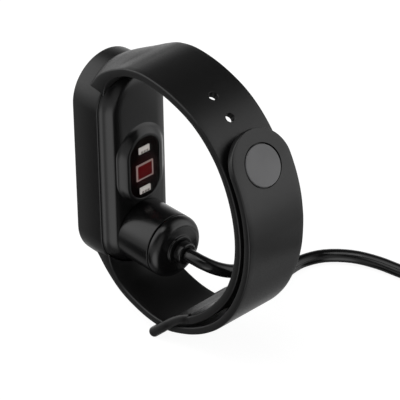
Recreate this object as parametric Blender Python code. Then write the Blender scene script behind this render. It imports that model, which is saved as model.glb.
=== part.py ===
"""Fitness tracker band: a pill-shaped tracker pod in a silicone strap, with a magnetic charging puck.

Sizes are in millimetres and become metres in at().  The design frame has x from the holder
ring's front face towards the wrist, y across the strap and z along the pod from its centre.
FRONT_X and POD_Z move it to the part's own frame: the origin lies on the surface that the
closed band stands on, under the middle of its box.
"""

import math

import bmesh
import bpy
from mathutils import Matrix, Vector

MM = 0.001
FRONT_X = -24.4
POD_Z = 32.65
GAP = 0.3

# Holder ring and straps, one silicone moulding in the real product
RING_R = 9.3
RING_ARC = 14.9
RING_DEPTH = 7.0
RING_WALL = 0.6
STRAP_HALF = 7.6
STRAP_T = 1.75
OUTER_T = 1.65
# Face towards the wrist of the strap with the holes: x, z and thickness, from ring to keeper
UPPER_FACE = (
    (7.3, 19.3, 4.2), (8.0, 21.8, 2.9), (9.6, 23.9, 2.2), (11.8, 25.65, 1.8), (15.1, 27.15, STRAP_T),
    (20.0, 27.8, STRAP_T), (27.0, 26.7, STRAP_T), (34.0, 23.7, STRAP_T), (39.6, 18.5, STRAP_T),
    (43.3, 11.8, STRAP_T), (45.2, 4.0, STRAP_T), (45.0, -3.5, STRAP_T), (42.5, -11.0, STRAP_T),
    (37.6, -17.8, STRAP_T), (32.0, -22.7, STRAP_T), (27.4, -24.9, STRAP_T),
)
# Outer face of the other strap: x, z and thickness, from ring through the keeper to the hinge
LOWER_FACE = (
    (1.6, -18.6, 5.6), (3.9, -21.0, 3.9), (6.0, -23.4, 2.5), (8.2, -25.4, 1.95), (10.8, -27.2, STRAP_T),
    (14.1, -28.6, STRAP_T), (18.1, -29.7, STRAP_T), (22.0, -30.1, STRAP_T), (25.5, -29.75, OUTER_T),
    (29.1, -28.6, OUTER_T), (32.6, -27.1, OUTER_T), (36.2, -25.0, OUTER_T), (39.9, -22.1, OUTER_T),
    (43.1, -18.5, OUTER_T), (45.6, -14.6, OUTER_T), (47.9, -9.4, OUTER_T), (49.3, -4.0, OUTER_T),
    (49.75, 1.5, OUTER_T), (49.55, 5.5, OUTER_T),
)
TAB_FACE = ((49.55, 5.5), (48.95, 9.2), (47.75, 13.1), (46.0, 16.87), (44.05, 20.1), (42.1, 23.3))
SPLINE_STEPS = 4
# Outer side of the same strap at its root: raised in the middle, like the ring's round end
ROOT_CROWN = 3.8
ROOT_CROWN_LENGTH = 12.5
CROWN_ROW = (1.0, 0.75, 0.4, 0.0, -0.4, -0.75, -1.0)

# Holes along the strap, and the snap fastener that fills the fourth one
HOLE_R = 1.15
HOLE_PITCH = 5.2
HOLE_COUNT = 12
SNAP_HOLE = 3
SNAP_CENTRE = (46.0, 16.87)
SNAP_TILT = math.radians(30.7)
CAP_R = 4.35
CAP_T = 0.75
POCKET_DEPTH = 1.0
POST_R = 0.6
POST_HEAD_R = 0.8
POST_LENGTH = 4.6

# Keeper: the slotted end of the strap with the holes, which the other strap runs through
KEEPER_END = (27.9, -25.5)
KEEPER_BAR = (21.5, -31.5)
KEEPER_BAR_R = 1.15
KEEPER_HALF = 9.1
RAIL_HALF = (7.9, 9.1)
RAIL_T = 2.1

# Tracker pod
POD_R = 8.4
POD_WALL = 0.9
GLASS_R = 9.0
GLASS_X = (-0.95, -0.3)
CASE_SPLIT_X = 4.6
BACK_X = 9.7
BACK_FLOOR_X = 8.7
ISLAND_X = 11.0
ISLAND_R = 6.45
ISLAND_ARCS = (4.0, -1.35)
WINDOW_R = 4.0
WINDOW_ARCS = (3.85, -2.55)
CONTACT_Y = 2.2
MOTOR_Z = -12.5
MOTOR_X = (2.4, 5.0)
MOTOR_R = 4.0

# Magnetic charging puck, coaxial with the charging contacts
PUCK_Z = -15.1
PUCK_X = 10.0
PUCK_R = 6.84
PUCK_SPLIT_X = 18.2
PUCK_END_X = 20.8
RELIEF_R = 2.35
RELIEF_END_X = 23.4
PIN_R = 0.5

# Charging cord: route by hand in the design frame, then a round coil and a USB plug
CORD_R = 1.45
CORD_ROUTE = (
    (23.7, 0.0, -15.1), (25.2, 0.05, -15.15), (27.5, 0.6, -15.6), (29.5, 2.1, -16.6), (30.8, 4.3, -17.7),
    (31.1, 7.0, -18.9), (30.7, 10.0, -20.9), (29.8, 13.5, -24.0), (28.4, 17.5, -27.5), (26.7, 22.0, -30.2),
    (25.2, 27.0, -31.1), (25.0, 31.5, -31.1), (26.9, 36.5, -31.1), (31.3, 40.6, -31.1),
    (37.0, 42.9, -31.1), (44.0, 44.3, -31.1), (51.0, 47.1, -31.1), (58.3, 51.5, -31.1),
)
COIL_CENTRE = (78.0, 42.0)
COIL_INNER_R = 13.6
COIL_OUTER_R = 19.5
COIL_HEIGHT = 5.9
TAIL_ROUTE = ((92.2, 27.6, 4.45), (91.1, 24.5, 4.3), (90.5, 21.3, 3.95))
PLUG_BASE = (90.5, 21.0)
PLUG_BODY = (14.0, 17.0, 7.8)
PLUG_SHELL = (12.0, 12.0, 4.5)
SHELL_WALL = 0.35
CONTACT_PITCH = 2.3

ARC_STEPS = 12
TURN_STEPS = 32


def at(x, y, z):
    """A point of the design frame, in millimetres, as a point of the part's frame in metres."""
    return Vector(((x + FRONT_X) * MM, y * MM, (z + POD_Z) * MM))


def clear_scene():
    for thing in list(bpy.data.objects):
        bpy.data.objects.remove(thing, do_unlink=True)


def finish(name, colour, roughness, metallic=0.0):
    """A material of one colour, roughness and metallic value."""
    material = bpy.data.materials.new(name)
    material.use_nodes = True
    shader = material.node_tree.nodes["Principled BSDF"]
    shader.inputs["Base Color"].default_value = (*colour, 1.0)
    shader.inputs["Roughness"].default_value = roughness
    shader.inputs["Metallic"].default_value = metallic
    return material


def world_location(thing):
    """World place of an object that is moved only by location."""
    place = thing.location.copy()
    while thing.parent:
        thing = thing.parent
        place += thing.location
    return place


def joint_empty(name, place, parent=None):
    """An empty on a joint's axis, which the joint's pieces hang from."""
    empty = bpy.data.objects.new(name, None)
    bpy.context.collection.objects.link(empty)
    empty.empty_display_size = 0.004
    empty.location = place - world_location(parent) if parent else place
    empty.parent = parent
    return empty


def add_piece(name, mesh_maker, material, parent):
    """One named solid from a bmesh in world metres, with its origin at its joint's empty."""
    mesh = bpy.data.meshes.new(name)
    bmesh.ops.recalc_face_normals(mesh_maker, faces=mesh_maker.faces[:])
    mesh_maker.to_mesh(mesh)
    mesh_maker.free()
    if material:
        mesh.materials.append(material)
        mesh.shade_smooth()
        mesh.set_sharp_from_angle(angle=math.radians(35))
    piece = bpy.data.objects.new(name, mesh)
    bpy.context.collection.objects.link(piece)
    if parent:
        mesh.transform(Matrix.Translation(-world_location(parent)))
        piece.parent = parent
    return piece


def cut(piece, cutter_mesh, operation="DIFFERENCE"):
    """Cut a piece with, or join it to, a hidden shape of its own."""
    cutter = add_piece(f"{piece.name}_cutter_{len(piece.modifiers)}", cutter_mesh, None, piece.parent)
    cutter.hide_render = True
    cutter.display_type = "WIRE"
    boolean = piece.modifiers.new("shape", "BOOLEAN")
    boolean.operation = operation
    boolean.object = cutter


def skin(rings, closed=False):
    """A closed mesh through rings of points: capped at both ends, or joined into a loop."""
    body = bmesh.new()
    loops = [[body.verts.new(point) for point in ring] for ring in rings]
    body.verts.index_update()
    count = len(loops[0])
    pairs = list(zip(loops, loops[1:]))
    if closed:
        pairs.append((loops[-1], loops[0]))
    else:
        body.faces.new(loops[0])
        body.faces.new(loops[-1])
    for first, second in pairs:
        for i in range(count):
            j = (i + 1) % count
            body.faces.new((first[i], first[j], second[j], second[i]))
    return body


def pill(x, radius, arcs=(RING_ARC, -RING_ARC)):
    """Pill outline across the pod at depth x: two half circles about the heights in arcs."""
    points = []
    for centre, start in ((arcs[0], 0.0), (arcs[1], math.pi)):
        for i in range(ARC_STEPS + 1):
            angle = start + math.pi * i / ARC_STEPS
            points.append(at(x, radius * math.cos(angle), centre + radius * math.sin(angle)))
    return points


def pill_body(stations, closed=False):
    """Solid or ring through pill outlines: stations hold x, radius and, optionally, the arcs."""
    return skin([pill(*station) for station in stations], closed)


def turned(stations, y=0.0, z=0.0, closed=False, steps=TURN_STEPS):
    """Solid or ring turned about the line through y and z along x: stations hold x and radius."""
    rings = []
    for x, radius in stations:
        angles = [2 * math.pi * i / steps for i in range(steps)]
        rings.append([at(x, y + radius * math.cos(a), z + radius * math.sin(a)) for a in angles])
    return skin(rings, closed)


def box(x, y, z):
    """Box from three (low, high) pairs of the design frame."""
    ring = [(y[0], z[0]), (y[1], z[0]), (y[1], z[1]), (y[0], z[1])]
    return skin([[at(depth, *corner) for corner in ring] for depth in x])


def smooth(points, steps=SPLINE_STEPS):
    """Points along a Catmull-Rom curve through the given points, of any number of values."""
    ends = [
        tuple(2 * a - b for a, b in zip(points[0], points[1])),
        tuple(2 * a - b for a, b in zip(points[-1], points[-2])),
    ]
    chain = [ends[0], *points, ends[1]]
    curve = []
    for p0, p1, p2, p3 in zip(chain, chain[1:], chain[2:], chain[3:]):
        for i in range(steps):
            t = i / steps
            curve.append(tuple(
                0.5 * (2 * b + (c - a) * t + (2 * a - 5 * b + 4 * c - d) * t ** 2
                       + (3 * b - a - 3 * c + d) * t ** 3)
                for a, b, c, d in zip(p0, p1, p2, p3)
            ))
    curve.append(tuple(points[-1]))
    return curve


def normals(curve):
    """Unit normals, turned a quarter left of the direction of travel, at each (x, z) of a curve."""
    result = []
    for i in range(len(curve)):
        before, after = curve[max(i - 1, 0)], curve[min(i + 1, len(curve) - 1)]
        dx, dz = after[0] - before[0], after[1] - before[1]
        length = math.hypot(dx, dz)
        result.append((-dz / length, dx / length))
    return result


def strip(face, half_widths=None, crown=0.0):
    """Strap through a face curve of (x, z, thickness), the thickness lying left of travel.

    The crown raises the middle of the far side where the face starts, and dies away along it.
    """
    row = CROWN_ROW if crown else (1.0, -1.0)
    rings = []
    travelled = 0.0
    for i, ((x, z, thickness), (nx, nz)) in enumerate(zip(face, normals(face))):
        half = half_widths[i] if half_widths else STRAP_HALF
        if i:
            travelled += math.dist(face[i - 1][:2], (x, z))
        rise = crown * max(1.0 - travelled / ROOT_CROWN_LENGTH, 0.0) ** 2
        ring = [at(x, -half, z), at(x, half, z)]
        for part_way in row:
            through = thickness + rise * (1.0 - part_way ** 2)
            ring.append(at(x + through * nx, part_way * half, z + through * nz))
        rings.append(ring)
    return skin(rings)


def snap_turned(stations, steps=24):
    """Solid turned about the snap's axis: stations hold distance out from the tab's face, radius."""
    across = Vector((0.0, 1.0, 0.0))
    out = Vector((math.cos(SNAP_TILT), 0.0, math.sin(SNAP_TILT)))
    along = out.cross(across)
    centre = at(SNAP_CENTRE[0], 0.0, SNAP_CENTRE[1])
    rings = []
    for distance, radius in stations:
        angles = [2 * math.pi * i / steps for i in range(steps)]
        rings.append([
            centre + MM * (out * distance + radius * (across * math.cos(a) + along * math.sin(a)))
            for a in angles
        ])
    return skin(rings)


def strap_root_cutter():
    """Room for the holder ring and for the pod's rear edge inside a strap's root."""
    return pill_body(((-3.0, RING_R + GAP), (RING_DEPTH + GAP, RING_R + GAP), (RING_DEPTH + GAP, POD_R + 0.6),
                      (BACK_X + GAP, POD_R - 0.6)))


def join(bodies):
    """One mesh that holds several closed bodies."""
    whole = bodies[0]
    for body in bodies[1:]:
        copies = [whole.verts.new(vert.co) for vert in body.verts]
        for face in body.faces:
            whole.faces.new([copies[vert.index] for vert in face.verts])
        body.free()
    return whole


def distance_at_snap(face):
    """Distance along a face curve, from its start, at which the snap's axis crosses it."""
    travelled = 0.0
    for (x0, z0, _), (x1, z1, _) in zip(face, face[1:]):
        before, after = (
            (z - SNAP_CENTRE[1]) * math.cos(SNAP_TILT) - (x - SNAP_CENTRE[0]) * math.sin(SNAP_TILT)
            for x, z in ((x0, z0), (x1, z1))
        )
        step = math.hypot(x1 - x0, z1 - z0)
        if before > 0 >= after:
            return travelled + step * before / (before - after)
        travelled += step


def hole_row(face):
    """The row of holes through the strap, evenly along its wrist face, as one cutter."""
    facing = normals(face)
    at_snap = distance_at_snap(face)
    distances = [at_snap + (number - SNAP_HOLE) * HOLE_PITCH for number in range(HOLE_COUNT)]
    across = Vector((0.0, 1.0, 0.0))
    holes = []
    travelled = 0.0
    for i in range(len(face) - 1):
        step = math.dist(face[i][:2], face[i + 1][:2])
        for distance in distances:
            if not travelled <= distance < travelled + step:
                continue
            part_way = (distance - travelled) / step
            x, z = (a + part_way * (b - a) for a, b in zip(face[i][:2], face[i + 1][:2]))
            nx, nz = (a + part_way * (b - a) for a, b in zip(facing[i], facing[i + 1]))
            out = Vector((nx, 0.0, nz)).normalized()
            along = out.cross(across)
            rings = []
            for depth in (-1.0, STRAP_T + 1.0):
                angles = [2 * math.pi * (k + 0.37) / 16 for k in range(16)]
                rings.append([
                    at(x, 0.0, z) + MM * (out * depth + HOLE_R * (across * math.cos(a) + along * math.sin(a)))
                    for a in angles
                ])
            holes.append(skin(rings))
        travelled += step
    return join(holes)


def keeper_frame():
    """Directions of the keeper's plane: along its rails, and square to them."""
    dx, dz = KEEPER_BAR[0] - KEEPER_END[0], KEEPER_BAR[1] - KEEPER_END[1]
    length = math.hypot(dx, dz)
    return (dx / length, dz / length), (-dz / length, dx / length), length


def keeper_rail(side):
    """One side rail of the keeper, from the strap's shoulder to the cross bar."""
    (dx, dz), (nx, nz), length = keeper_frame()
    y_values = (side * RAIL_HALF[0], side * RAIL_HALF[1])
    rings = []
    for distance in (-1.2, length):
        x, z = KEEPER_END[0] + dx * distance, KEEPER_END[1] + dz * distance
        half = RAIL_T / 2
        rings.append([
            at(x - nx * half, y_values[0], z - nz * half), at(x - nx * half, y_values[1], z - nz * half),
            at(x + nx * half, y_values[1], z + nz * half), at(x + nx * half, y_values[0], z + nz * half),
        ])
    return skin(rings)


def keeper_shoulder():
    """Widened end of the strap that carries both rails."""
    x, z = KEEPER_END
    ring = [(x + 1.6, z + 1.6), (x - 0.45, z + 0.8), (x + 0.3, z - 0.8), (x + 2.3, z + 0.2)]
    return skin([[at(px, y, pz) for px, pz in ring] for y in (-KEEPER_HALF, KEEPER_HALF)])


def keeper_bar():
    """Cross bar with rounded ends, along y."""
    x, z = KEEPER_BAR
    rings = []
    shoulder = KEEPER_HALF - 0.8
    tip_r = KEEPER_BAR_R - 0.6
    for y, radius in (
        (-KEEPER_HALF, tip_r), (-shoulder, KEEPER_BAR_R), (shoulder, KEEPER_BAR_R), (KEEPER_HALF, tip_r),
    ):
        angles = [2 * math.pi * i / 16 for i in range(16)]
        rings.append([at(x + radius * math.cos(a), y, z + radius * math.sin(a)) for a in angles])
    return skin(rings)


def build_band(silicone, parent):
    add_piece("holder_ring", pill_body(
        ((0.0, RING_R), (RING_DEPTH, RING_R), (RING_DEPTH, RING_R - RING_WALL), (0.0, RING_R - RING_WALL)),
        closed=True), silicone, parent)

    upper_face = smooth(UPPER_FACE)
    upper = add_piece("upper_strap", strip(upper_face, crown=ROOT_CROWN), silicone, parent)
    cut(upper, strap_root_cutter())
    cut(upper, hole_row(upper_face))
    for body in (keeper_shoulder(), keeper_rail(-1), keeper_rail(1), keeper_bar()):
        cut(upper, body, "UNION")

    lower = add_piece("lower_strap", strip(smooth(LOWER_FACE)), silicone, parent)
    cut(lower, strap_root_cutter())


def build_tab(silicone, satin, parent):
    """Free end of the outer strap: a tab with a round end, the snap's cap and its post."""
    curve = smooth([(x, z, OUTER_T) for x, z in TAB_FACE])
    along = Vector((-math.sin(SNAP_TILT), math.cos(SNAP_TILT)))
    widths = []
    for x, z, _ in curve:
        beyond = Vector((x - SNAP_CENTRE[0], z - SNAP_CENTRE[1])).dot(along)
        beyond = min(max(beyond, 0.0), STRAP_HALF * 0.985)
        widths.append(math.sqrt(STRAP_HALF ** 2 - beyond ** 2))
    start = normals(curve)[0]
    first = (curve[0][0] + start[1] * GAP, curve[0][1] - start[0] * GAP, OUTER_T)
    tab = add_piece("strap_tab", strip([first, *curve[1:]], widths), silicone, parent)
    cut(tab, snap_turned(((-POCKET_DEPTH, CAP_R + GAP), (2.0, CAP_R + GAP))))
    cut(tab, snap_turned(((-3.0, POST_R + GAP), (2.0, POST_R + GAP)), 16))

    add_piece("snap_cap", snap_turned((
        (-POCKET_DEPTH + GAP, CAP_R), (-POCKET_DEPTH + GAP + CAP_T - 0.15, CAP_R),
        (-POCKET_DEPTH + GAP + CAP_T, CAP_R - 0.15),
    ), 48), satin, parent)
    tip = -POCKET_DEPTH - POST_LENGTH
    add_piece("snap_post", snap_turned((
        (-POCKET_DEPTH, POST_R), (tip + 1.1, POST_R), (tip + 0.7, POST_HEAD_R), (tip + 0.3, POST_HEAD_R),
        (tip, POST_HEAD_R - 0.4),
    ), 16), satin, parent)


def build_pod_shell(glass, case, parent):
    add_piece("front_glass", pill_body((
        (GLASS_X[0], GLASS_R - 0.5), (GLASS_X[0] + 0.12, GLASS_R - 0.15), (GLASS_X[0] + 0.35, GLASS_R),
        (GLASS_X[1], GLASS_R),
    )), glass, parent)
    add_piece("glass_gasket", pill_body(
        ((0.0, 8.3), (0.5, 8.3), (0.5, 7.8), (0.0, 7.8)), closed=True), case, parent)
    inner = POD_R - POD_WALL
    add_piece("front_case", pill_body(
        ((0.5 + GAP, POD_R), (CASE_SPLIT_X, POD_R), (CASE_SPLIT_X, inner), (0.5 + GAP, inner)), closed=True,
    ), case, parent)
    back = add_piece("back_case", pill_body((
        (CASE_SPLIT_X + GAP, POD_R), (RING_DEPTH + 0.2, POD_R), (BACK_X - 1.45, POD_R - 0.5),
        (BACK_X - 0.85, POD_R - 1.0), (BACK_X - 0.45, POD_R - 1.4), (BACK_X - 0.15, POD_R - 1.75),
        (BACK_X, POD_R - 1.9),
        (BACK_X, ISLAND_R, ISLAND_ARCS), (ISLAND_X - 0.12, WINDOW_R + 0.7, WINDOW_ARCS),
        (ISLAND_X, WINDOW_R + 0.5, WINDOW_ARCS), (ISLAND_X, WINDOW_R + GAP, WINDOW_ARCS),
        (ISLAND_X - 0.85, WINDOW_R + GAP, WINDOW_ARCS), (ISLAND_X - 0.85, WINDOW_R - GAP, WINDOW_ARCS),
        (BACK_FLOOR_X, WINDOW_R - GAP, WINDOW_ARCS), (BACK_FLOOR_X, POD_R - 2.1), (BACK_FLOOR_X - 1.2, inner),
        (CASE_SPLIT_X + GAP, inner),
    ), closed=True), case, parent)
    for side in (-1, 1):
        cut(back, turned(((BACK_FLOOR_X - 1, 1.2), (BACK_X + 1, 1.2)), side * CONTACT_Y, PUCK_Z, steps=16))


def build_sensor(glass, board, white, red, parent):
    """Optical sensor under the island's window: two light sources above and below a photodiode."""
    add_piece("sensor_window", pill_body((
        (ISLAND_X - 0.55, WINDOW_R, WINDOW_ARCS), (ISLAND_X - 0.1, WINDOW_R, WINDOW_ARCS),
        (ISLAND_X, WINDOW_R - 0.1, WINDOW_ARCS),
    )), glass, parent)
    add_piece("sensor_board", pill_body((
        (8.9, WINDOW_R - 0.6, WINDOW_ARCS), (9.4, WINDOW_R - 0.6, WINDOW_ARCS))), board, parent)
    depth = (9.7, 10.1)
    for name, z in (("led_upper", 5.1), ("led_lower", -4.6)):
        add_piece(name, box(depth, (-1.6, 1.6), (z - 0.88, z + 0.88)), white, parent)
    add_piece("photodiode", box(depth, (-1.85, 1.85), (-1.3, 1.6)), red, parent)
    rim = add_piece("photodiode_frame", box(depth, (-2.5, 2.5), (-1.95, 2.25)), white, parent)
    cut(rim, box((9.0, 11.0), (-2.15, 2.15), (-1.6, 1.9)))


def build_pod_inside(metal, board, dark, parent):
    add_piece("display_panel", box((0.0, 1.0), (-6.4, 6.4), (-14.5, 14.5)), dark, parent)
    add_piece("display_bracket", pill_body(((1.3, 7.1), (1.9, 7.1))), metal, parent)
    add_piece("battery_cell", box((2.2, 5.4), (-6.0, 6.0), (-6.0, 15.5)), metal, parent)
    add_piece("main_board", pill_body(((5.9, 7.1), (6.5, 7.1))), board, parent)
    add_piece("processor_chip", box((6.8, 7.5), (-2.6, 2.6), (9.0, 14.2)), dark, parent)
    add_piece("motion_sensor_chip", box((6.8, 7.6), (-1.3, 1.3), (15.6, 18.2)), dark, parent)
    add_piece("radio_shield", box((6.8, 8.0), (-4.0, 4.0), (-8.5, -1.5)), metal, parent)
    add_piece("attraction_plate", box((7.9, 8.4), (-5.0, 5.0), (-18.5, -11.7)), metal, parent)
    for number, side in enumerate((-1, 1), start=1):
        add_piece(f"charge_contact_{number}", turned(
            ((BACK_FLOOR_X + 0.1, 0.9), (BACK_X - 0.2, 0.9)), side * CONTACT_Y, PUCK_Z, steps=16),
            metal, parent)


def build_vibration_motor(metal, parent, spin_parent):
    """Coin motor: a cup with its pin, a cover, and an off-centre weight that spins on the pin."""
    low, high = MOTOR_X
    wall, pin = MOTOR_R - 0.4, 0.5
    add_piece("vibration_motor_case", turned((
        (low, MOTOR_R), (high, MOTOR_R), (high, wall), (low + 0.5, wall), (low + 0.5, pin), (high - 0.2, pin),
    ), 0.0, MOTOR_Z, steps=24), metal, parent)
    add_piece("vibration_motor_cover", turned(
        ((high + GAP, MOTOR_R), (high + 2 * GAP, MOTOR_R)), 0.0, MOTOR_Z, steps=24), metal, parent)
    weight_r, hub_r, bore_r = wall - 0.4, 1.7, pin + 0.35
    rings = []
    for x, wide, narrow in (
        (low + 0.9, weight_r, hub_r), (high - 0.4, weight_r, hub_r), (high - 0.4, bore_r, bore_r),
        (low + 0.9, bore_r, bore_r),
    ):
        ring = []
        for i in range(24):
            angle = 2 * math.pi * i / 24
            radius = wide if math.sin(angle) < 0.1 else narrow
            ring.append(at(x, radius * math.cos(angle), MOTOR_Z + radius * math.sin(angle)))
        rings.append(ring)
    add_piece("vibration_motor_rotor", skin(rings, closed=True), metal, spin_parent)


def build_charger(case, metal, board, parent, pin_parents):
    """Charging puck: shell and rear cap, magnets, contact board, pogo pins and strain relief."""
    shell = add_piece("puck_shell", turned((
        (PUCK_X, PUCK_R - 0.35), (PUCK_X + 0.1, PUCK_R - 0.1), (PUCK_X + 0.35, PUCK_R),
        (PUCK_SPLIT_X, PUCK_R), (PUCK_SPLIT_X, PUCK_R - 0.95), (PUCK_X + 1.1, PUCK_R - 0.95),
    ), 0.0, PUCK_Z), case, parent)
    cap_round = [
        (PUCK_END_X - 1.8 + 1.8 * math.sin(a), PUCK_R - 1.8 + 1.8 * math.cos(a))
        for a in [math.pi / 2 * i / 4 for i in range(5)]
    ]
    add_piece("puck_cap", turned((
        (PUCK_SPLIT_X + GAP, PUCK_R), *cap_round, (PUCK_END_X, 3.1), (PUCK_END_X + 0.4, 3.05),
        (PUCK_END_X + 0.5, 2.9), (PUCK_END_X + 0.5, 1.75), (PUCK_SPLIT_X + GAP, 1.75),
    ), 0.0, PUCK_Z, closed=True), case, parent)
    add_piece("strain_relief", turned((
        (PUCK_SPLIT_X, 1.4), (PUCK_END_X + 0.8, 1.4), (PUCK_END_X + 0.8, RELIEF_R),
        (RELIEF_END_X - 0.3, RELIEF_R), (RELIEF_END_X, RELIEF_R - 0.3),
    ), 0.0, PUCK_Z, steps=24), case, parent)
    for number, side in enumerate((-1, 1), start=1):
        cut(shell, turned(
            ((PUCK_X - 1, PIN_R + GAP), (PUCK_X + 2, PIN_R + GAP)), side * CONTACT_Y, PUCK_Z, steps=16))
        add_piece(f"pogo_barrel_{number}", turned((
            (PUCK_X + 1.5, 1.2), (PUCK_X + 5.5, 1.2), (PUCK_X + 5.5, 0.4), (PUCK_X + 4.9, 0.4),
            (PUCK_X + 4.9, 0.8), (PUCK_X + 1.5, 0.8),
        ), side * CONTACT_Y, PUCK_Z, closed=True, steps=16), metal, parent)
        add_piece(f"pogo_pin_{number}", turned((
            (PUCK_X - 0.2, PIN_R - 0.2), (PUCK_X, PIN_R), (PUCK_X + 4.0, PIN_R),
        ), side * CONTACT_Y, PUCK_Z, steps=16), metal, pin_parents[number - 1])
        add_piece(f"puck_magnet_{number}", turned((
            (PUCK_X + 1.4, 1.5), (PUCK_X + 4.6, 1.5)), 0.0, PUCK_Z + side * 3.9, steps=16), metal, parent)
    add_piece("contact_board", turned(((PUCK_X + 5.9, 5.4), (PUCK_X + 6.5, 5.4)), 0.0, PUCK_Z, steps=24),
              board, parent)


def tube(name, points, material, parent):
    """Cord stretch: a round tube with flat ends along a smooth curve through the points."""
    curve = bpy.data.curves.new(name, "CURVE")
    curve.dimensions = "3D"
    curve.bevel_depth = CORD_R * MM
    curve.bevel_resolution = 2
    curve.use_fill_caps = True
    spline = curve.splines.new("POLY")
    spline.points.add(len(points) - 1)
    offset = world_location(parent)
    for target, point in zip(spline.points, points):
        target.co = (*(point - offset), 1.0)
    curve.materials.append(material)
    piece = bpy.data.objects.new(name, curve)
    bpy.context.collection.objects.link(piece)
    piece.parent = parent
    return piece


def on_floor(x, y, height):
    """A point given by design x and y, and by its height above the standing surface."""
    return at(x, y, height - POD_Z)


def plug_box(across, along, height):
    """Box of the plug from (low, high) pairs: across it, from its base to its tip, and above the surface."""
    ring = [
        (PLUG_BASE[0] + across[0], height[0]), (PLUG_BASE[0] + across[1], height[0]),
        (PLUG_BASE[0] + across[1], height[1]), (PLUG_BASE[0] + across[0], height[1]),
    ]
    return skin([[on_floor(x, PLUG_BASE[1] - reach, h) for x, h in ring] for reach in along])


def build_plug(case, metal, parent):
    """USB plug: overmould, metal shell, tongue and four contacts, pointing towards -y."""
    half, length, height = PLUG_BODY[0] / 2, PLUG_BODY[1], PLUG_BODY[2]
    lift = 0.05
    body = add_piece(
        "usb_overmold", plug_box((-half, half), (0.0, length), (lift, height + lift)), case, parent)
    bevel = body.modifiers.new("rounded", "BEVEL")
    bevel.width = 1.2 * MM
    bevel.segments = 2

    start, middle = length + GAP, height / 2 + lift
    half, length, height = PLUG_SHELL[0] / 2, PLUG_SHELL[1], PLUG_SHELL[2] / 2
    shell = add_piece("usb_shell", plug_box(
        (-half, half), (start, start + length), (middle - height, middle + height)), metal, parent)
    cut(shell, plug_box(
        (SHELL_WALL - half, half - SHELL_WALL), (start + 0.6, start + length + 1),
        (middle - height + SHELL_WALL, middle + height - SHELL_WALL)))
    add_piece("usb_tongue", plug_box(
        (-5.2, 5.2), (start + 0.9, start + length - 0.6), (middle - 1.6, middle)), case, parent)
    for number in range(4):
        centre = (number - 1.5) * CONTACT_PITCH
        add_piece(f"usb_contact_{number + 1}", plug_box(
            (centre - 0.55, centre + 0.55), (start + 3.5, start + length - 2.0),
            (middle + GAP, middle + GAP + 0.25)), metal, parent)


def build_cord(cord, parent):
    """Cord: from the strain relief to the floor, a round coil of the spare length, and on to the plug."""
    tube("cord_run", [at(*point) for point in smooth(CORD_ROUTE, 3)], cord, parent)
    rings = []
    section = (
        (COIL_INNER_R, 0.6), (COIL_INNER_R + 0.6, 0.05), (COIL_OUTER_R - 0.6, 0.05), (COIL_OUTER_R, 0.6),
        (COIL_OUTER_R, 2.4), (COIL_OUTER_R - 1.3, COIL_HEIGHT), (COIL_INNER_R + 1.3, COIL_HEIGHT),
        (COIL_INNER_R, 2.4),
    )
    for radius, height in section:
        angles = [2 * math.pi * i / TURN_STEPS for i in range(TURN_STEPS)]
        rings.append([
            on_floor(COIL_CENTRE[0] + radius * math.cos(a), COIL_CENTRE[1] + radius * math.sin(a), height)
            for a in angles
        ])
    add_piece("cord_coil", skin(rings, closed=True), cord, parent)
    tube("cord_tail", [on_floor(*point) for point in smooth(TAIL_ROUTE, 3)], cord, parent)


def main():
    clear_scene()
    silicone = finish("silicone", (0.012, 0.012, 0.013), 0.55)
    case = finish("case_plastic", (0.010, 0.010, 0.011), 0.32)
    glass = finish("glass", (0.005, 0.005, 0.006), 0.06)
    satin = finish("cap_plastic", (0.075, 0.075, 0.078), 0.4)
    metal = finish("metal", (0.62, 0.62, 0.64), 0.3, 1.0)
    board = finish("board", (0.01, 0.035, 0.02), 0.5)
    dark = finish("chip", (0.01, 0.01, 0.012), 0.3)
    white = finish("led_white", (0.9, 0.88, 0.85), 0.4)
    red = finish("photodiode_red", (0.35, 0.01, 0.02), 0.3)
    cord = finish("cord", (0.012, 0.012, 0.012), 0.3)

    band = joint_empty("band_frame", at(0.0, 0.0, 0.0))
    tab = joint_empty("tab_hinge_axis", at(TAB_FACE[0][0], 0.0, TAB_FACE[0][1]), band)
    pod = joint_empty("pod_slide_axis", at(CASE_SPLIT_X, 0.0, 0.0), band)
    rotor = joint_empty("rotor_axis", at(MOTOR_X[0], 0.0, MOTOR_Z), pod)
    charger = joint_empty("charger_slide_axis", at(PUCK_X, 0.0, PUCK_Z), pod)
    pins = [
        joint_empty(f"pogo_pin_{number}_axis", at(PUCK_X, side * CONTACT_Y, PUCK_Z), charger)
        for number, side in enumerate((-1, 1), start=1)
    ]

    build_band(silicone, band)
    build_tab(silicone, satin, tab)
    build_pod_shell(glass, case, pod)
    build_sensor(glass, board, white, red, pod)
    build_pod_inside(metal, board, dark, pod)
    build_vibration_motor(metal, pod, rotor)
    build_charger(case, metal, board, charger, pins)
    build_cord(cord, charger)
    build_plug(case, metal, charger)


main()
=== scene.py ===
"""Looks of the fitness tracker band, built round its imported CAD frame.

Places are in the band's design frame, in millimetres: x from the holder ring's front face towards
the wrist, y across the strap, z along the pod from its centre.  at() turns them into the part's own
frame in metres, with the ring's box as its reference.
"""

import math

import bmesh
import bpy
from mathutils import Matrix, Vector


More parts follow.
